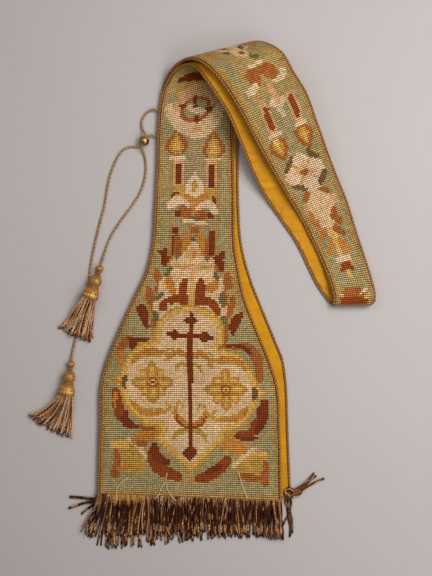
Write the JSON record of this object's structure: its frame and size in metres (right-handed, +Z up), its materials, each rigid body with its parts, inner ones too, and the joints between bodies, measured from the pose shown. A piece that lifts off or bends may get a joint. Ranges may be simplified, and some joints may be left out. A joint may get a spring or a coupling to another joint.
{
  "type": "clerical stole",
  "caption": "Needlework priest's stole folded at the neck and laid flat, with spade ends, fringed hems, silk lining, twisted edging, tie cords, slider bead and tassels.",
  "frame": {"origin": "on the table under the middle of the laid cloth and its fringes, the tie cords left out", "axes": "+Z up from the table; the fringed hems point to -Y and the roll to +Y; the neck fold lies towards +X and the tie cords towards -X"},
  "size_m": [0.4294, 0.6239, 0.0636],
  "materials": {
    "needlework": "matte wool tent stitch on canvas",
    "lining": "satin",
    "edging": "twisted cord",
    "fringe": "metal-wrapped twisted thread",
    "tie cord": "twisted cord",
    "brass": "polished",
    "tassel": "metal-wrapped twisted thread"
  },
  "bodies": {
    "root": {"face_under": "needlework", "face_upper": "needlework", "lining_under": "lining", "lining_upper": "lining", "edging_under_inner": "edging", "edging_under_outer": "edging", "edging_upper_inner": "edging", "edging_upper_outer": "edging", "fringe_under": "fringe", "fringe_upper": "fringe", "tie_cord_long": "tie cord", "tie_cord_short": "tie cord", "slider_bead": "brass", "tassel_long": "tassel", "tassel_short": "tassel"}
  },
  "joints": []
}
